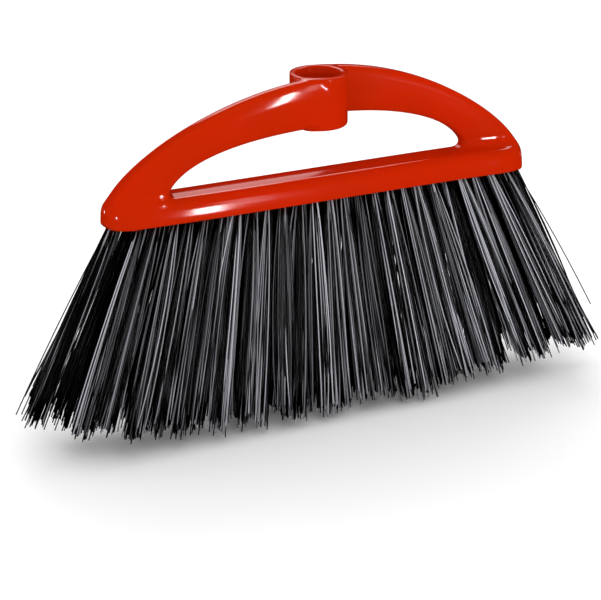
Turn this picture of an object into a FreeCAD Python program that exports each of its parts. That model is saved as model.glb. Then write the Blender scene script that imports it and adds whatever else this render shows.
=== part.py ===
import FreeCAD, Part
import math
import os

Vector = FreeCAD.Vector

# A broom head: one plastic moulding that carries four rows of long, fanned tufts.
# The origin is on the socket's axis, at the floor where the handle's end comes to rest.
# +X runs along the head, +Y towards its back and +Z up the handle. Sizes are in millimetres.
# The pieces are made with the block's underside at height 0, and moved to the origin when they are written.

# Tuft block
head_length = 277.0
head_depth = 28.6
block_height = 14.6
end_run = 26.0              # length of each half-oval end of the block
block_top_round = 4.5
block_bottom_round = 1.5

# Arch: two arms that rise from the ends of the block to the socket
arch_height = 74.9
arch_inset = 2.5            # from the block's end to the foot of the arm
arch_foot_height = 8.7      # where the outer curve leaves the end of the block
arch_foot_pull = 20.0       # upward pull of the outer curve at its foot
arch_crown_pull = 76.6      # sideways pull of the outer curve at the socket
arm_thickness = 10.0        # at the socket
foot_thickness = 12.0       # where the arm meets the end of the block
arm_round = 3.8
arm_sweep = 11.8            # how far each arm lies off the centre plane at the socket
grip_length = 203.0
grip_height = 45.8          # top of the grip opening
grip_foot_height = 10.0
grip_foot_pull = 17.8
grip_crown_pull = 73.7
arm_root = 4.0              # depth to which the arms reach into the block
foot_blend = 3.0            # hollow blend where the arms stand on the block

# Handle socket
socket_radius = 17.0
socket_drop = 2.6           # how far the socket hangs below the top of the grip opening
socket_bottom_round = 2.0
rim_round = 0.8
bore_radius = 12.0
mouth_radius = 13.0
mouth_depth = 4.0
socket_floor = 3.0

# Tufts
tuft_columns = 28
row_count = 4
row_pitch = 5.6
tuft_root_radius = 2.1
tuft_tip_radius = 4.4
tuft_length = 133.0         # from the underside of the block to the tip
end_lean = 27.0             # lean of the outermost tufts along the head, in degrees
row_lean = 10.0             # lean of the front and back rows across the head, in degrees
hole_clearance = 0.15
hole_depth = 10.0
end_margin = 5.0            # from the block's end to the outermost tuft
edge_wall = 2.0             # least wall between a hole and the side of the block

# Wire anchors
anchor_thickness = 0.5
anchor_height = 1.9
anchor_setback = 1.6        # from the bottom of the hole to the anchor
anchor_clearance = 0.1

edge_slack = 0.01           # tolerance when edges are picked by their height

half_length = head_length / 2
half_depth = head_depth / 2
column_pitch = (head_length - 2 * end_margin) / (tuft_columns - 1)
hole_radius = tuft_root_radius + hole_clearance
socket_bottom = grip_height - socket_drop
bore_bottom = socket_bottom + socket_floor
foot_x = half_length - arch_inset


def export(shapes, name):
    """Write one node from a list of separate solids, with the socket's floor at the origin."""
    shape = shapes[0] if len(shapes) == 1 else Part.makeCompound(shapes)
    shape.translate(Vector(0, 0, -bore_bottom))
    shape.exportStep(os.path.join("parts", name + ".step"))


def bezier(points):
    curve = Part.BezierCurve()
    curve.setPoles(points)
    return curve.toShape()


def line(start, end):
    return Part.makeLine(start, end)


def half_oval(side):
    """End of the block's outline; side is -1 for the left end and 1 for the right."""
    centre_x = side * (half_length - end_run)
    tip = Vector(side * half_length, 0, 0)
    flank = Vector(centre_x, half_depth, 0)
    major, minor = (tip, flank) if end_run > half_depth else (flank, tip)
    oval = Part.Ellipse(major, minor, Vector(centre_x, 0, 0))
    front = oval.parameter(Vector(centre_x, -half_depth, 0))
    back = oval.parameter(flank)
    arcs = [Part.ArcOfEllipse(oval, front, back), Part.ArcOfEllipse(oval, back, front)]
    outward = [arc.value((arc.FirstParameter + arc.LastParameter) / 2).x * side for arc in arcs]
    return arcs[outward.index(max(outward))].toShape()


def block_outline():
    """Two straight sides joined by half-oval ends, seen from below."""
    straight = half_length - end_run
    front = line(Vector(-straight, -half_depth, 0), Vector(straight, -half_depth, 0))
    back = line(Vector(-straight, half_depth, 0), Vector(straight, half_depth, 0))
    return Part.Wire(Part.__sortEdges__([front, half_oval(1), back, half_oval(-1)]))


def make_block():
    """Bar with oval ends. Its upper edge is well rounded and its lower edge is softened."""
    block = Part.Face(outline).extrude(Vector(0, 0, block_height))
    top = [e for e in block.Edges if e.BoundBox.ZMin > block_height - edge_slack]
    block = block.makeFillet(block_top_round, top)
    bottom = [e for e in block.Edges if e.BoundBox.ZMax < edge_slack]
    return block.makeFillet(block_bottom_round, bottom)


def arm_profile():
    """The left arm seen from the front: the outer curve above, the grip opening's curve below."""
    base = block_height - arm_root
    foot = Vector(-foot_x, 0, arch_foot_height)
    foot_pull = Vector(-foot_x, 0, arch_foot_height + arch_foot_pull)
    crown_pull = Vector(-arch_crown_pull, 0, arch_height)
    crown = Vector(0, 0, arch_height)
    grip_crown = Vector(0, 0, grip_height)
    grip_crown_pole = Vector(-grip_crown_pull, 0, grip_height)
    grip_foot_pole = Vector(-grip_length / 2, 0, grip_foot_height + grip_foot_pull)
    grip_foot = Vector(-grip_length / 2, 0, grip_foot_height)
    low = min(arch_foot_height, grip_foot_height, base) / 2
    outer_low = Vector(-foot_x, 0, low)
    inner_low = Vector(-grip_length / 2, 0, low)
    edges = [
        bezier([foot, foot_pull, crown_pull, crown]),
        line(crown, grip_crown),
        bezier([grip_crown, grip_crown_pole, grip_foot_pole, grip_foot]),
        line(grip_foot, inner_low),
        line(inner_low, outer_low),
        line(outer_low, foot),
    ]
    return Part.Face(Part.Wire(edges))


def arc_from_crown(crown_y, foot_y):
    """Arc along the head: level at the socket's centre, ending at the foot of the left arm."""
    rise = foot_y - crown_y
    radius = (foot_x ** 2 + rise ** 2) / (2 * rise)
    angle = math.asin(foot_x / radius)

    def point(turn):
        return Vector(-radius * math.sin(turn), crown_y + radius * (1 - math.cos(turn)), 0)

    return Part.Arc(point(0), point(angle / 2), point(angle)).toShape()


def arm_plan():
    """The left arm seen from above: a strip between two arcs that sweeps to the front of the socket."""
    front_crown = -arm_sweep - arm_thickness / 2
    back_crown = -arm_sweep + arm_thickness / 2
    front_foot = -foot_thickness / 2
    back_foot = foot_thickness / 2
    edges = [
        arc_from_crown(front_crown, front_foot),
        line(Vector(-foot_x, front_foot, 0), Vector(-foot_x, back_foot, 0)),
        arc_from_crown(back_crown, back_foot),
        line(Vector(0, back_crown, 0), Vector(0, front_crown, 0)),
    ]
    return Part.Face(Part.Wire(Part.__sortEdges__(edges)))


def make_arm():
    """The left arm, with its four long edges rounded."""
    profile = arm_profile()
    profile.translate(Vector(0, -head_depth, 0))
    body = profile.extrude(Vector(0, 2 * head_depth, 0))
    strip = arm_plan().extrude(Vector(0, 0, 2 * arch_height))
    arm = body.common(strip).Solids[0]
    long_edges = []
    for edge in arm.Edges:
        box = edge.BoundBox
        if box.XLength > grip_length / 4 and box.ZLength > block_height / 2:
            long_edges.append(edge)
    return arm.makeFillet(arm_round, long_edges)


def make_socket():
    height = arch_height - socket_bottom
    boss = Part.makeCylinder(socket_radius, height, Vector(0, 0, socket_bottom))
    low_edge = [e for e in boss.Edges if e.BoundBox.ZMax < socket_bottom + edge_slack]
    boss = boss.makeFillet(socket_bottom_round, low_edge)
    rim = [e for e in boss.Edges if e.BoundBox.ZMin > arch_height - edge_slack]
    return boss.makeFillet(rim_round, rim)


def socket_bore():
    bore = Part.makeCylinder(bore_radius, arch_height, Vector(0, 0, bore_bottom))
    mouth_base = arch_height - mouth_depth
    mouth = Part.makeCone(bore_radius, mouth_radius, mouth_depth, Vector(0, 0, mouth_base))
    return bore.fuse(mouth)


def touches_foot(edge):
    """True for the creases between an arm's foot and the top of the block."""
    box = edge.BoundBox
    level = box.ZMin > block_height - block_top_round and box.ZMax < block_height + edge_slack
    inside = max(abs(box.YMin), abs(box.YMax)) < half_depth - block_top_round
    return level and inside and edge.Length > foot_thickness


def make_head():
    arm = make_arm()
    other_arm = arm.copy()
    other_arm.rotate(Vector(0, 0, 0), Vector(0, 0, 1), 180)
    head = make_block().fuse([arm, other_arm])
    head = head.makeFillet(foot_blend, [e for e in head.Edges if touches_foot(e)])
    head = head.fuse(make_socket())
    return head.cut(socket_bore())


def distance_inside(x, y):
    """How far a point on the underside lies inside the block's outline; 0 outside it."""
    point = Vector(x, y, 0)
    if not Part.Face(outline).isInside(point, edge_slack, True):
        return 0
    return Part.Vertex(point).distToShape(outline)[0]


def tuft_places():
    """(column, row, x, y) of every tuft: neighbouring rows are half a pitch apart."""
    places = []
    for column in range(tuft_columns):
        for row in range(row_count):
            y = (row - (row_count - 1) / 2) * row_pitch
            x = (column - (tuft_columns - 1) / 2 + (row % 2) / 2 - 1 / 4) * column_pitch
            if distance_inside(x, y) > hole_radius + edge_wall:
                places.append((column, row, x, y))
    return places


def tuft_direction(x, y):
    """Unit vector from the underside to the tip of a tuft: the tufts fan out both ways."""
    along = math.radians(end_lean) * x / (half_length - end_margin)
    across = math.radians(row_lean) * y / (row_pitch * (row_count - 1) / 2)
    direction = Vector(math.tan(along), math.tan(across), -1)
    return direction.normalize()


def make_hole(x, y):
    """Drill for one blind hole; it starts a little below the underside."""
    down = tuft_direction(x, y)
    start = Vector(x, y, 0) + down * tuft_root_radius * 2
    return Part.makeCylinder(hole_radius, hole_depth + tuft_root_radius * 2, start, down * -1)


def anchor_block(x, y, length, thickness, height):
    """Box across a hole, near its bottom; its height is measured down the hole."""
    down = tuft_direction(x, y)
    centre = Vector(x, y, 0) - down * (hole_depth - anchor_setback)
    across = Vector(0, 1, 0)
    wire = (across - down * across.dot(down)).normalize()
    side = down.cross(wire)
    box = Part.makeBox(length, thickness, height, Vector(-length / 2, -thickness / 2, 0))
    turn = FreeCAD.Matrix(
        wire.x, side.x, down.x, centre.x,
        wire.y, side.y, down.y, centre.y,
        wire.z, side.z, down.z, centre.z,
        0, 0, 0, 1,
    )
    return box.transformed(turn)


def make_tuft(x, y):
    """One bundle: a straight root in its hole, then a slender cone down to the tips."""
    down = tuft_direction(x, y)
    mouth = Vector(x, y, 0)
    root_length = hole_depth - hole_clearance
    root = Part.makeCylinder(tuft_root_radius, root_length, mouth - down * root_length, down)
    brush = Part.makeCone(tuft_root_radius, tuft_tip_radius, tuft_length, mouth, down)
    fold = anchor_block(
        x, y,
        3 * tuft_root_radius,
        anchor_thickness + 2 * anchor_clearance,
        anchor_height + anchor_clearance,
    )
    return root.fuse(brush).cut(fold)


def make_anchor(x, y):
    """Flat wire that just spans the hole."""
    return anchor_block(x, y, 2 * hole_radius - anchor_clearance, anchor_thickness, anchor_height)


os.makedirs("parts", exist_ok=True)
outline = block_outline()
places = tuft_places()
holes = [make_hole(x, y) for column, row, x, y in places]
export([make_head().cut(holes).Solids[0]], "head_moulding")
for column in range(tuft_columns):
    tufts = [make_tuft(x, y) for c, row, x, y in places if c == column]
    if tufts:
        export(tufts, "tuft_column_%02d" % (column + 1))
for row in range(row_count):
    anchors = [make_anchor(x, y) for column, r, x, y in places if r == row]
    export(anchors, "wire_anchors_row_%d" % (row + 1))
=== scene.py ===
import math

import bpy
import numpy as np
import openvdb
from mathutils import Matrix, Vector


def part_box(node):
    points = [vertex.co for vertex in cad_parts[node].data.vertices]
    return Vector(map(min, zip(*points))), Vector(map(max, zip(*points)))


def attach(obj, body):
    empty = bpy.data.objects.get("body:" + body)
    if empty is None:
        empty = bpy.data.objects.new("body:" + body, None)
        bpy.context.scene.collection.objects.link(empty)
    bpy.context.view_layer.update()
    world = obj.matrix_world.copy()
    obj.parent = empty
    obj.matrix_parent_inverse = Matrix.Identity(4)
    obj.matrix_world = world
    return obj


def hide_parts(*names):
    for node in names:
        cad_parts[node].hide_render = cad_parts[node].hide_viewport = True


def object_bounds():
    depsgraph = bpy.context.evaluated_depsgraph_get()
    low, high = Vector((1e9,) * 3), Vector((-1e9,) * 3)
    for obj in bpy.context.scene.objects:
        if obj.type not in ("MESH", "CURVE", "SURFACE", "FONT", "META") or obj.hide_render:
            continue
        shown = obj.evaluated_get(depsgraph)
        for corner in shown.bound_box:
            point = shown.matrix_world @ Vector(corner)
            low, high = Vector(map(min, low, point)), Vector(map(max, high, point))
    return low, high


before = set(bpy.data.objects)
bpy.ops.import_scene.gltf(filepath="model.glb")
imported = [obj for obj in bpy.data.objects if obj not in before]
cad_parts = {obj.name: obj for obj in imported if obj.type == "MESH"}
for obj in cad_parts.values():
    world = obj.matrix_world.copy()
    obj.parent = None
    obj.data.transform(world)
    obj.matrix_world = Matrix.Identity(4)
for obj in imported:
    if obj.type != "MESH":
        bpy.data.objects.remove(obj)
cadLow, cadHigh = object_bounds()
mm = 0.001
headLow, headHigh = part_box("head_moulding")
underside = headLow.z / mm  # height of the block's underside, in millimetres
random = np.random.default_rng(7)
tiny = 1e-9  # keeps a division away from zero
print("frame loaded")


# A hex colour in sRGB, turned to linear light: below 0.04045 a straight share, above it a power of 2.4.
def linearColour(code):
    parts = [int(code[i:i + 2], 16) / 255 for i in (1, 3, 5)]
    return [c / 12.92 if c <= 0.04045 else ((c + 0.055) / 1.055) ** 2.4 for c in parts] + [1.0]


# Adds one node, sets its fields and input values, and links what is given as (node, output name).
def addNode(tree, kind, inputs=None, **fields):
    node = tree.nodes.new(kind)
    for name, value in fields.items():
        setattr(node, name, value)
    for name, value in (inputs or {}).items():
        if isinstance(value, tuple) and isinstance(value[0], bpy.types.Node):
            tree.links.new(value[0].outputs[value[1]], node.inputs[name])
        else:
            node.inputs[name].default_value = value
    return node


# An empty material under a name, with its node tree.
def startMaterial(name):
    material = bpy.data.materials.new(name)
    material.use_nodes = True
    material.node_tree.nodes.clear()
    return material, material.node_tree


# The shader's output goes to the surface.
def endMaterial(tree, shader):
    addNode(tree, "ShaderNodeOutputMaterial", {"Surface": (shader, "BSDF")})


# Points in millimetres and faces as index rows become one smooth-shaded mesh object in metres.
def meshPiece(name, points, faceSets, material):
    mesh = bpy.data.meshes.new(name)
    sizes = np.concatenate([np.full(len(f), f.shape[1]) for f in faceSets])
    corners = np.concatenate([f.ravel() for f in faceSets]).astype(np.int32)
    mesh.vertices.add(len(points))
    mesh.vertices.foreach_set("co", (points * mm).astype(np.float32).ravel())
    mesh.loops.add(len(corners))
    mesh.loops.foreach_set("vertex_index", corners)
    mesh.polygons.add(len(sizes))
    starts = np.concatenate([[0], np.cumsum(sizes)[:-1]]).astype(np.int32)
    mesh.polygons.foreach_set("loop_start", starts)
    mesh.polygons.foreach_set("use_smooth", np.full(len(sizes), True))
    mesh.update(calc_edges=True)
    mesh.validate()
    piece = bpy.data.objects.new(name, mesh)
    bpy.context.collection.objects.link(piece)
    piece.data.materials.append(material)
    return piece


# Polypropylene from a polished mould: an even, saturated red with a clear gloss and very faint flow marks.
glossyRed = {
    "deep": "#a52200",
    "bright": "#c21c00",
    "toneSize": 60.0,      # width of the slow drift in tone, in mm
    "smooth": 0.06,        # roughness of the best polished places
    "worn": 0.10,          # and of the dullest
    "wearSize": 25.0,      # width of a duller place, in mm
    "flowSize": 18.0,      # width of a flow mark, in mm
    "flowHeight": 0.02,    # in mm
    "grainSize": 0.9,      # fine mould grain, drawn coarse enough to show, in mm
    "grainHeight": 0.002,
    "ior": 1.49,           # polypropylene
}


# Colour drifts between two reds, roughness between two values, and the normal follows flow marks and grain.
def mouldedPolypropylene():
    look = glossyRed
    material, tree = startMaterial("moulded glossy polypropylene")
    place = addNode(tree, "ShaderNodeTexCoord")
    tone = addNode(tree, "ShaderNodeTexNoise", {
        "Vector": (place, "Object"), "Scale": 1 / (look["toneSize"] * mm), "Detail": 2.0})
    colour = addNode(tree, "ShaderNodeMix", {
        "Factor": (tone, "Fac"), "A": linearColour(look["deep"]), "B": linearColour(look["bright"])},
        data_type="RGBA")
    flow = addNode(tree, "ShaderNodeTexNoise", {
        "Vector": (place, "Object"), "Scale": 1 / (look["flowSize"] * mm), "Detail": 1.0})
    grain = addNode(tree, "ShaderNodeTexNoise", {
        "Vector": (place, "Object"), "Scale": 1 / (look["grainSize"] * mm), "Detail": 2.0})
    flowBump = addNode(tree, "ShaderNodeBump", {
        "Height": (flow, "Fac"), "Distance": look["flowHeight"] * mm, "Strength": 1.0})
    grainBump = addNode(tree, "ShaderNodeBump", {
        "Height": (grain, "Fac"), "Distance": look["grainHeight"] * mm, "Strength": 1.0,
        "Normal": (flowBump, "Normal")})
    wear = addNode(tree, "ShaderNodeTexNoise", {
        "Vector": (place, "Object"), "Scale": 1 / (look["wearSize"] * mm), "Detail": 3.0})
    gloss = addNode(tree, "ShaderNodeMapRange", {
        "Value": (wear, "Fac"), "To Min": look["smooth"], "To Max": look["worn"]})
    shader = addNode(tree, "ShaderNodeBsdfPrincipled", {
        "Base Color": (colour, "Result"), "Roughness": (gloss, "Result"), "IOR": look["ior"],
        "Normal": (grainBump, "Normal")})
    endMaterial(tree, shader)
    return material


# Drawn polypropylene monofilament, dyed black: a satin skin that catches the light in long thin lines.
blackFilament = {
    "dark": "#010101",
    # The light grey is painted sheen on the filaments; the black is their own colour.
    "light": "#bebec6",
    "sleek": 0.24,         # roughness where the draw marks are faint
    "scuffed": 0.36,       # and where they are strong
    "drawLength": 9.0,     # length of the faint marks along a filament, in mm
    "drawHeight": 0.01,
    "ior": 1.5,
}


# Colour goes from black to grey by each filament's painted sheen: black is the filament's own colour, the
# grey is painted sheen. Marks along it raise the surface and dull it.
def drawnFilament():
    look = blackFilament
    material, tree = startMaterial("drawn black filament")
    shade = addNode(tree, "ShaderNodeAttribute", attribute_name="shade")
    colour = addNode(tree, "ShaderNodeMix", {
        "Factor": (shade, "Fac"), "A": linearColour(look["dark"]), "B": linearColour(look["light"])},
        data_type="RGBA")
    place = addNode(tree, "ShaderNodeTexCoord")
    marks = addNode(tree, "ShaderNodeTexNoise", {
        "Vector": (place, "Object"), "Scale": 1 / (look["drawLength"] * mm), "Detail": 3.0})
    bump = addNode(tree, "ShaderNodeBump", {
        "Height": (marks, "Fac"), "Distance": look["drawHeight"] * mm, "Strength": 1.0})
    gloss = addNode(tree, "ShaderNodeMapRange", {
        "Value": (marks, "Fac"), "To Min": look["sleek"], "To Max": look["scuffed"]})
    shader = addNode(tree, "ShaderNodeBsdfPrincipled", {
        "Base Color": (colour, "Result"), "Roughness": (gloss, "Result"), "IOR": look["ior"],
        "Normal": (bump, "Normal")})
    endMaterial(tree, shader)
    return material


# Flat drawn steel wire: bright grey with fine lines along its length.
flatWire = {"dark": "#6c6d70", "light": "#a9abb0", "lineWidth": 0.15, "roughness": 0.35}


# Colour drifts between two greys over the width of a draw line.
def drawnSteel():
    look = flatWire
    material, tree = startMaterial("drawn steel wire")
    place = addNode(tree, "ShaderNodeTexCoord")
    lines = addNode(tree, "ShaderNodeTexNoise", {
        "Vector": (place, "Object"), "Scale": 1 / (look["lineWidth"] * mm), "Detail": 2.0})
    colour = addNode(tree, "ShaderNodeMix", {
        "Factor": (lines, "Fac"), "A": linearColour(look["dark"]), "B": linearColour(look["light"])},
        data_type="RGBA")
    shader = addNode(tree, "ShaderNodeBsdfPrincipled", {
        "Base Color": (colour, "Result"), "Metallic": 1.0, "Roughness": look["roughness"]})
    endMaterial(tree, shader)
    return material


moulding = {
    "halfLength": 138.5,
    "halfDepth": 14.3,
    "blockHeight": 14.6,
    "endRun": 26.0,        # length of the oval ends of the block
    "endPower": 2.35,      # 2 is a true oval, more is squarer
    "endShift": 3.6,       # how far each end of the block bends aside, as a flat S seen from above
    "shiftPower": 4.5,
    "topRound": 3.6,
    "topCrown": 1.4,       # how far the top falls away towards its front and back
    "faceCrown": 3.0,      # how far the sides lean in at the top
    "widestHeight": 1.0,
    "endRound": 6.0,       # rounding where the arch's curve runs over the ends of the block
    "bottomRound": 1.5,
    "archHeight": 74.9,
    "footX": 136.6,
    "footHeight": 7.5,
    "footPull": 20.0,
    "crownPull": 76.6,
    "armThickness": 9.9,
    "footThickness": 12.0,
    "footShift": 0.6,
    "armRound": 2.4,
    "armCrown": 1.5,       # how far the arms' faces fall away towards their edges
    "crownReach": 11.0,
    "armSweep": 12.05,
    "armRoot": 3.0,        # height above the underside at which the arms end inside the block
    "gripHalf": 101.5,
    "gripHeight": 45.8,
    "gripFootHeight": 10.0,
    "gripFootPull": 17.8,
    "gripCrownPull": 73.7,
    "socketRadius": 17.0,
    "socketBottom": 43.2,
    "socketLowRound": 2.0,
    "rimRound": 0.8,
    "boreRadius": 12.0,
    "boreBottom": 46.2,
    "mouthRadius": 13.0,
    "mouthDepth": 4.0,
    "footBlend": 6.0,      # reach of the hollow where the arms stand on the block
    "socketBlend": 4.0,
    "blendFloor": 8.0,     # height at which the hollow at the arms' feet begins
    "blendRise": 5.0,      # and how far above that it is full
    "blendEnd": 110.0,     # beyond this distance from the middle the hollow begins at every height
    "blendRun": 12.0,      # and over this length it grows full
    "blendLeast": 0.3,
    "flushDepth": 5.0,     # near the front and back of the socket the arms lie flush, without a hollow
    "rimBlend": 1.2,
    "gridStep": 0.75,
    "gridMargin": 3,       # grid steps left free round the part
    "farAway": 10.0,       # value of the field outside the grid
    "farBelow": -60.0,     # height to which the arch's feet are carried down, well under the block
    "settleRounds": 2,     # times that the points are moved on to the surface
    "slopeStep": 0.05,     # half the distance over which the field's slope is taken
    "leastSlope": 0.2,     # least square of the slope, so that no point jumps
    "curveSteps": 300,
}


# Cubic curve from its four poles, as rows of x and z.
def cubicCurve(poles):
    t = np.linspace(0, 1, moulding["curveSteps"])[:, None]
    a, b, c, d = np.asarray(poles, float)
    return (1 - t) ** 3 * a + 3 * t * (1 - t) ** 2 * b + 3 * t ** 2 * (1 - t) * c + t ** 3 * d


# Distance from points to a curve: the least distance to any of its short straight pieces.
def distanceToCurve(x, z, curve):
    shape = x.shape
    x, z = x.ravel(), z.ravel()
    best = np.full(x.shape, np.inf)
    start, step = curve[:-1], np.diff(curve, axis=0)
    for (ax, az), (bx, bz) in zip(start, step):
        along = np.clip(((x - ax) * bx + (z - az) * bz) / (bx * bx + bz * bz), 0, 1)
        best = np.minimum(best, (x - ax - along * bx) ** 2 + (z - az - along * bz) ** 2)
    return np.sqrt(best).reshape(shape)


# Signed distance to the region under a curve that falls from the centre to a vertical foot. Inside is
# negative.
def underCurve(x, z, curve, footX):
    ax = np.abs(x)
    down = np.vstack([curve, [footX, moulding["farBelow"]]])
    away = distanceToCurve(ax, z, down)
    height = np.interp(ax, curve[:, 0], curve[:, 1])
    inside = (ax < footX) & (z < height)
    return np.where(inside, -away, away)


# Union of two fields whose crease is filled by a hollow that reaches the given distance.
def blendUnion(a, b, reach):
    share = np.maximum(reach - np.abs(a - b), 0) / reach
    return np.minimum(a, b) - share ** 2 * reach / 4


# Common part of two fields, with the edge between them rounded to the given radius.
def roundCommon(a, b, radius):
    outside = np.hypot(np.maximum(a + radius, 0), np.maximum(b + radius, 0))
    return outside + np.minimum(np.maximum(a, b) + radius, 0) - radius


# Distance to the block's outline seen from above: straight sides and oval ends, on a middle line that bends
# aside towards each end. The oval's level is divided by its slope to make a distance of it.
def planField(x, y):
    s = moulding
    power = s["endPower"]
    y = y + s["endShift"] * np.sign(x) * np.abs(x / s["halfLength"]) ** s["shiftPower"]
    px = np.maximum(np.abs(x) - s["halfLength"] + s["endRun"], 0) / s["endRun"] + tiny
    py = np.abs(y) / s["halfDepth"] + tiny
    level = (px ** power + py ** power) ** (1 / power)
    slope = np.hypot(px ** (power - 1) / s["endRun"], py ** (power - 1) / s["halfDepth"])
    slope = slope * level ** (1 - power)
    return (level - 1) / slope


# Field of the tuft block: the bar seen from above, with its top edge well rounded and its lower edge
# softened.
# The sides lean in and the top falls away by the square of the distance from their fullest line.
def blockField(x, y, z, arch):
    s = moulding
    rise = np.clip((z - s["widestHeight"]) / (s["blockHeight"] - s["widestHeight"]), 0, 1)
    side = planField(x, y) + s["faceCrown"] * rise ** 2
    fall = s["topCrown"] * np.clip(y / s["halfDepth"], -1, 1) ** 2
    top = roundCommon(side, z - s["blockHeight"] + fall, s["topRound"])
    ended = roundCommon(top, arch, s["endRound"])
    return roundCommon(ended, -z, s["bottomRound"])


# Field of the left arm: the strip that sweeps to the front of the socket, within the arch and above the grip.
# Its faces fall away a little towards their upper and lower edges.
def armField(x, y, z, profile):
    s = moulding
    share = np.clip(-x / s["footX"], 0, 1) ** 2
    centre = -s["armSweep"] * (1 - share) + s["footShift"] * share
    fall = s["armCrown"] * (1 - np.clip(-profile / s["crownReach"], 0, 1)) ** 2
    half = (s["armThickness"] + (s["footThickness"] - s["armThickness"]) * share) / 2 - fall
    arm = roundCommon(np.abs(y - centre) - half, profile, s["armRound"])
    return np.maximum(np.maximum(arm, x), s["armRoot"] - z)


# Field of the socket: a short round boss with rounded ends.
def socketField(x, y, z):
    s = moulding
    side = np.hypot(x, y) - s["socketRadius"]
    low = roundCommon(side, s["socketBottom"] - z, s["socketLowRound"])
    return roundCommon(low, z - s["archHeight"], s["rimRound"])


# Field of the hollow for the handle: a straight bore that widens at its mouth.
def boreField(x, y, z):
    s = moulding
    widening = (s["mouthRadius"] - s["boreRadius"]) / s["mouthDepth"]
    radius = s["boreRadius"] + np.maximum(z - s["archHeight"] + s["mouthDepth"], 0) * widening
    return np.maximum(np.hypot(x, y) - radius, s["boreBottom"] - z)


# The whole moulding: arms, block and socket joined, the flat top cut, and the bore taken out. The hollows
# fade out where two parts lie flush, so that the skin has no lumps there.
def mouldingField(x, y, z, arch, grip):
    s = moulding
    profile = np.maximum(arch, -grip)
    arms = np.minimum(armField(x, y, z, profile), armField(-x, -y, z, profile))
    full = np.maximum((z - s["blendFloor"]) / s["blendRise"], (np.abs(x) - s["blendEnd"]) / s["blendRun"])
    footReach = s["footBlend"] * np.clip(full, 0, 1) + s["blendLeast"]
    body = blendUnion(arms, blockField(x, y, z, arch), footReach)
    inward = np.clip((s["socketRadius"] - np.abs(y)) / s["flushDepth"], 0, 1)
    body = blendUnion(body, socketField(x, y, z), s["socketBlend"] * inward + s["blendLeast"])
    body = roundCommon(body, z - s["archHeight"], s["rimRound"])
    return -blendUnion(-body, boreField(x, y, z), s["rimBlend"])


# Fields of the arch's outer shape and of the grip opening. Both are the region under a cubic curve.
def archAndGrip(x, z):
    s = moulding
    outer = cubicCurve([(0, s["archHeight"]), (s["crownPull"], s["archHeight"]),
                        (s["footX"], s["footHeight"] + s["footPull"]), (s["footX"], s["footHeight"])])
    inner = cubicCurve([(0, s["gripHeight"]), (s["gripCrownPull"], s["gripHeight"]),
                        (s["gripHalf"], s["gripFootHeight"] + s["gripFootPull"]),
                        (s["gripHalf"], s["gripFootHeight"])])
    return underCurve(x, z, outer, s["footX"]), underCurve(x, z, inner, s["gripHalf"])


# The moulding's skin: the field is worked out on a grid, its zero surface is taken as quads, and every point
# is then moved along the field's slope until the field is zero there.
def makeMoulding(material):
    s = moulding
    h = s["gridStep"]
    margin = s["gridMargin"] * h
    x = np.arange(-s["halfLength"] - margin, s["halfLength"] + margin + h, h)
    y = np.arange(-s["socketRadius"] - margin, s["socketRadius"] + margin + h, h)
    z = np.arange(-margin, s["archHeight"] + margin + h, h)
    gx, gz = np.meshgrid(x, z, indexing="ij")
    arch, grip = archAndGrip(gx, gz)
    values = mouldingField(x[:, None, None], y[None, :, None], z[None, None, :],
                           arch[:, None, :], grip[:, None, :])
    grid = openvdb.FloatGrid(s["farAway"])
    whole = np.broadcast_to(values, (len(x), len(y), len(z)))
    grid.copyFromArray(np.ascontiguousarray(whole, dtype=np.float32))
    points, quads = grid.convertToQuads(0.0)
    points = points.astype(float) * h + [x[0], y[0], z[0]]

    def fieldAt(p):
        arch, grip = archAndGrip(p[:, 0], p[:, 2])
        return mouldingField(p[:, 0], p[:, 1], p[:, 2], arch, grip)

    reach = s["slopeStep"]
    for _ in range(s["settleRounds"]):
        value = fieldAt(points)
        slope = np.empty_like(points)
        for axis in range(3):
            shift = np.zeros(3)
            shift[axis] = reach
            slope[:, axis] = (fieldAt(points + shift) - fieldAt(points - shift)) / (2 * reach)
        steep = np.maximum((slope ** 2).sum(1), s["leastSlope"])
        points -= np.clip(value / steep, -h, h)[:, None] * slope
    points[:, 2] += underside
    piece = meshPiece("moulding", points, [outward(points, quads.astype(np.int64))], material)
    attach(piece, "root")
    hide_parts("head_moulding")
    print("moulding made:", len(quads), "quads")


# Faces turned so that they point outwards: the signed volume under them is made positive.
def outward(points, quads):
    a, b, c, d = (points[quads[:, i]] for i in range(4))
    volume = (a * np.cross(b, c)).sum() + (a * np.cross(c, d)).sum()
    return quads if volume > 0 else quads[:, ::-1]


tufts = {
    "columns": 28,
    "rows": 4,
    "endMargin": 5.0,
    "length": 124.0,
    "endTrim": 6.0,        # how much shorter the outermost tufts are cut
    "rowPitch": 5.6,
    "edgeRoom": 4.25,      # from the side of the block to the middle of a hole
    "endReach": 2.5,       # how far the end tufts stand out towards the ends of the block
    "reachPower": 6,
    "endLean": 25.3,
    "rowLean": 9.0,
    "rootRadius": 1.9,
    "tipRadius": 6.0,
    "spreadPower": 0.85,   # below 1 the bundles open out early
    "buried": 6.0,         # how far the filaments reach up into their holes
    "perTuft": 62,
    "filamentRadius": 0.36,
    "rings": 8,
    "sides": 5,
    "lengthDrift": 2.0,    # spread of tuft lengths
    "lengthJitter": 3.0,   # spread of filament lengths within a tuft
    "leanJitter": 1.0,     # in degrees
    "tipStray": 1.5,       # how far tips stray from their place, in mm
    "bow": 1.2,
    # Filaments not left black get a painted sheen of grey. The rows between get far less of it, as painted
    # shade between the tufts.
    "outerDark": 0.58,     # share of the filaments that stay fully black in the front and back rows
    "innerDark": 0.90,     # and in the rows between
    "stray": 7.0,          # how far one filament of each piece stands out sideways at its tip
    "columnsPerPiece": 4,
    "ovalSteps": 200,      # points along a quarter of the oval end, for the distance to it
    "trimPower": 4,
}


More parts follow.
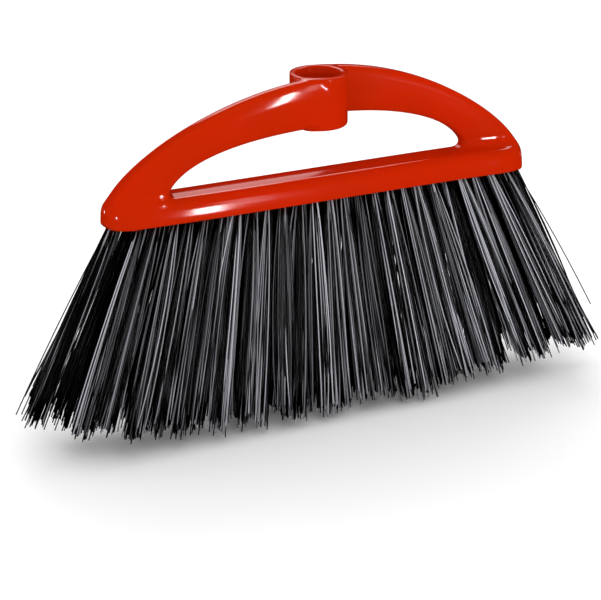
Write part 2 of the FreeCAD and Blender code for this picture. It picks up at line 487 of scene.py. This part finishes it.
# Places of the tufts under the block: every second row is moved by half a pitch, and places too near the
# oval ends are left out. The rest then follow the bend of the block and stand out a little at its ends.
def tuftPlaces():
    s = tufts
    m = moulding
    halfLength = (headHigh.x - headLow.x) / 2 / mm
    pitch = 2 * (halfLength - s["endMargin"]) / (s["columns"] - 1)
    column, row = np.meshgrid(np.arange(s["columns"]), np.arange(s["rows"]), indexing="ij")
    column, row = column.ravel(), row.ravel()
    y = (row - (s["rows"] - 1) / 2) * s["rowPitch"]
    x = (column - (s["columns"] - 1) / 2 + (row % 2) / 2 - 0.25) * pitch
    turn = np.linspace(0, np.pi / 2, s["ovalSteps"])
    ovalX = halfLength - m["endRun"] + m["endRun"] * np.cos(turn)
    ovalY = m["halfDepth"] * np.sin(turn)
    toOval = np.hypot(np.abs(x)[:, None] - ovalX, np.abs(y)[:, None] - ovalY).min(axis=1)
    alongOval = np.maximum(np.abs(x) - halfLength + m["endRun"], 0) / m["endRun"]
    inOval = alongOval ** 2 + (y / m["halfDepth"]) ** 2 < 1
    keep = (np.minimum(toOval, m["halfDepth"] - np.abs(y)) > s["edgeRoom"]) & inOval
    share = np.abs(x) / halfLength
    x = x + s["endReach"] * np.sign(x) * share ** s["reachPower"]
    y = y - m["endShift"] * np.sign(x) * share ** m["shiftPower"]
    return column[keep], row[keep], x[keep], y[keep], halfLength


# Random numbers about 0 with a spread of 1, held within 2.
def scatter(shape):
    return np.clip(random.standard_normal(shape), -2, 2)


# Filaments of many tufts at once. Each runs from its place in the root's disc to a wider disc at the tip,
# with a small bow between, and is a tube of a few rings closed at both ends.
def filamentMesh(name, row, x, y, halfLength, material):
    s = tufts
    count = len(x)
    n = s["perTuft"]
    along = np.radians(s["endLean"]) * x / (halfLength - s["endMargin"])
    across = np.radians(s["rowLean"]) * y / (s["rowPitch"] * (s["rows"] - 1) / 2)
    along = along + np.radians(s["leanJitter"]) * scatter(count)
    across = across + np.radians(s["leanJitter"]) * scatter(count)
    down = np.stack([np.tan(along), np.tan(across), -np.ones(count)], 1)
    down /= np.linalg.norm(down, axis=1)[:, None]
    side = np.cross(down, [0.0, 1.0, 0.0])
    side /= np.linalg.norm(side, axis=1)[:, None]
    depth = np.cross(down, side)
    trim = s["endTrim"] * (x / halfLength) ** s["trimPower"]
    lengths = (s["length"] - trim + s["lengthDrift"] * scatter(count))[:, None]
    lengths = lengths + s["lengthJitter"] * scatter((count, n))
    turn = random.uniform(0, 2 * np.pi, (count, n))
    reach = np.sqrt(random.uniform(0, 1, (count, n)))
    disc = np.stack([np.cos(turn), np.sin(turn)], -1) * reach[..., None]
    root = disc * s["rootRadius"]
    tip = disc * s["tipRadius"] + s["tipStray"] * scatter((count, n, 2))
    outermost = np.abs(x).argmax()
    tip[outermost, 0, 0] = np.sign(x[outermost]) * (s["tipRadius"] + s["stray"])
    bow = s["bow"] * scatter((count, n, 2))
    run = np.linspace(0, 1, s["rings"])
    spread = run ** s["spreadPower"]
    arch = 4 * run * (1 - run)
    flat = root[:, :, None, :] * (1 - spread[:, None]) + tip[:, :, None, :] * spread[:, None] \
        + bow[:, :, None, :] * arch[:, None]
    travel = -s["buried"] + (lengths[..., None] + s["buried"]) * run
    mouth = np.stack([x, y, np.full(count, underside)], 1)
    centre = mouth[:, None, None] + down[:, None, None] * travel[..., None] \
        + side[:, None, None] * flat[..., :1] + depth[:, None, None] * flat[..., 1:]
    angle = np.arange(s["sides"]) * 2 * np.pi / s["sides"]
    ring = side[:, None] * np.cos(angle)[:, None] + depth[:, None] * np.sin(angle)[:, None]
    ring = ring * s["filamentRadius"]
    points = centre[:, :, :, None, :] + ring[:, None, None, :, :]
    total = count * n
    index = np.arange(total * s["rings"] * s["sides"]).reshape(total, s["rings"], s["sides"])
    here, there = index, np.roll(index, -1, axis=2)
    quads = np.stack([here[:, :-1], here[:, 1:], there[:, 1:], there[:, :-1]], -1).reshape(-1, 4)
    ends = np.concatenate([index[:, 0], index[:, -1, ::-1]])
    piece = meshPiece(name, points.reshape(-1, 3), [quads, ends], material)
    # Each filament's painted sheen: a random share of grey, none for those left black, and fewer lit ones in
    # the inner rows, which stand in painted shade.
    outer = (row == 0) | (row == s["rows"] - 1)
    dark = np.repeat(np.where(outer, s["outerDark"], s["innerDark"]), n)
    shade = np.maximum(random.uniform(0, 1, total) - dark, 0) / (1 - dark)
    values = np.repeat(shade, s["rings"] * s["sides"]).astype(np.float32)
    piece.data.attributes.new("shade", "FLOAT", "POINT").data.foreach_set("value", values)
    return piece


# The tufts, a few columns to a piece, so that each piece stays a size that exports whole.
def makeTufts(material):
    s = tufts
    column, row, x, y, halfLength = tuftPlaces()
    made = 0
    for first in range(0, s["columns"], s["columnsPerPiece"]):
        last = first + s["columnsPerPiece"]
        mine = (column >= first) & (column < last)
        name = "bristles_%02d" % (first // s["columnsPerPiece"] + 1)
        piece = filamentMesh(name, row[mine], x[mine], y[mine], halfLength, material)
        nodes = ["tuft_column_%02d" % (c + 1) for c in range(first, last)]
        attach(piece, "root")
        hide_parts(*nodes)
        made += mine.sum() * s["perTuft"]
    print("filaments made:", made)


stage = {
    "floorGap": 1.0,       # below the lowest point of the part, in mm
    "floorSize": 6000.0,
    "dim": "#f8f8f8",
    "pale": "#fdfdfd",
    "toneSize": 1000 / 3,  # width of the slow drift in tone, in mm
    "roughness": 0.9,
}


# A flat floor of matt paper just under the part. It isn't mirrored in the gloss.
def makeStage():
    s = stage
    material, tree = startMaterial("pale studio paper")
    place = addNode(tree, "ShaderNodeTexCoord")
    tone = addNode(tree, "ShaderNodeTexNoise", {
        "Vector": (place, "Object"), "Scale": 1 / (s["toneSize"] * mm)})
    colour = addNode(tree, "ShaderNodeMix", {
        "Factor": (tone, "Fac"), "A": linearColour(s["dim"]), "B": linearColour(s["pale"])},
        data_type="RGBA")
    shader = addNode(tree, "ShaderNodeBsdfPrincipled", {
        "Base Color": (colour, "Result"), "Roughness": s["roughness"]})
    endMaterial(tree, shader)
    low = cadLow[2] / mm - s["floorGap"]
    half = s["floorSize"] / 2
    points = np.array([(-half, -half, low), (half, -half, low), (half, half, low), (-half, half, low)], float)
    floor = meshPiece("floor", points, [np.array([[0, 1, 2, 3]])], material)
    floor.visible_glossy = False
    print("floor made")


# Lights by where they stand, seen from the socket: angle round from +Y towards +X, elevation, distance in mm,
# then width and height in mm and brightness. A fill isn't mirrored in the gloss.
lights = {
    "ambient": 0.95,
    "frontRight": (162, -3, 1185, 56, 240, 40.0, True),
    "frontRightSoft": (156.9, 6, 4050, 180, 1000, 2.4, True),
    "frontLeft": (229, -6, 1200, 50, 50, 60.0, True),
    "leftSide": (317, -6, 1200, 60, 70, 60.0, True),
    "rightSide": (78, -5, 1200, 60, 70, 8.0, True),
    "backTop": (28, 42, 1100, 900, 260, 3.2, True),
    "backTall": (14, 33, 1100, 540, 600, 1.2, True),
    "fill": (200, 40, 1500, 900, 900, 2.4, False),
}


# A rectangular light that faces the socket. Its power is brightness times area times pi.
def addLight(name):
    around, rise, distance, width, height, brightness, mirrored = lights[name]
    a, e = math.radians(around), math.radians(rise)
    place = Vector((math.sin(a) * math.cos(e), math.cos(a) * math.cos(e), math.sin(e))) * distance * mm
    light = bpy.data.lights.new(name, "AREA")
    light.shape = "RECTANGLE"
    light.size, light.size_y = width * mm, height * mm
    light.energy = brightness * width * height * mm ** 2 * math.pi
    holder = bpy.data.objects.new(name, light)
    holder.location = place
    holder.rotation_euler = (-place).to_track_quat("-Z", "Y").to_euler()
    holder.visible_glossy = mirrored
    bpy.context.collection.objects.link(holder)


# An even white surround that the gloss doesn't mirror, and then each light of the table.
def makeLights():
    world = bpy.data.worlds.new("studio")
    world.use_nodes = True
    world.node_tree.nodes["Background"].inputs["Color"].default_value = linearColour("#ffffff")
    world.node_tree.nodes["Background"].inputs["Strength"].default_value = lights["ambient"]
    world.cycles_visibility.glossy = False
    bpy.context.scene.world = world
    for name in lights:
        if name != "ambient":
            addLight(name)
    print("lights made:", len(lights) - 1)


cameraSetting = {
    "azimuth": -27.1,      # angles in degrees
    "elevation": 20.41,
    "roll": -0.07,
    "distance": 1499.3,
    "focal": 150.5,        # in mm
    "sensorWidth": 36,
    "farthest": 100,       # in m
    "aim": (-12.0, 0.0, -110.6),
}


# The camera stands at a distance from its aim, along a line given by azimuth and elevation, and is rolled
# last.
def makeCamera():
    s = cameraSetting
    a, e = math.radians(s["azimuth"]), math.radians(s["elevation"])
    back = Vector((math.sin(a) * math.cos(e), -math.cos(a) * math.cos(e), math.sin(e)))
    right = Vector((math.cos(a), math.sin(a), 0))
    up = back.cross(right)
    r = math.radians(s["roll"])
    turnedRight = right * math.cos(r) + up * math.sin(r)
    turnedUp = up * math.cos(r) - right * math.sin(r)
    place = (Vector(s["aim"]) + back * s["distance"]) * mm
    camera = bpy.data.cameras.new("camera")
    camera.lens = s["focal"]
    camera.sensor_width = s["sensorWidth"]
    camera.clip_end = s["farthest"]
    holder = bpy.data.objects.new("camera", camera)
    turn = Matrix((turnedRight, turnedUp, back)).transposed()
    holder.matrix_world = Matrix.Translation(place) @ turn.to_4x4()
    bpy.context.collection.objects.link(holder)
    bpy.context.scene.camera = holder
    print("camera made")


redPlastic = mouldedPolypropylene()
filament = drawnFilament()
wire = drawnSteel()
print("materials made")
makeMoulding(redPlastic)
makeTufts(filament)
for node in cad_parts:
    if node.startswith("wire_anchors"):
        holder = bpy.data.objects[node]
        for place in holder.material_slots:
            place.material = wire
makeStage()
makeLights()
makeCamera()
bpy.context.scene.view_settings.view_transform = "Standard"
print("scene ready")
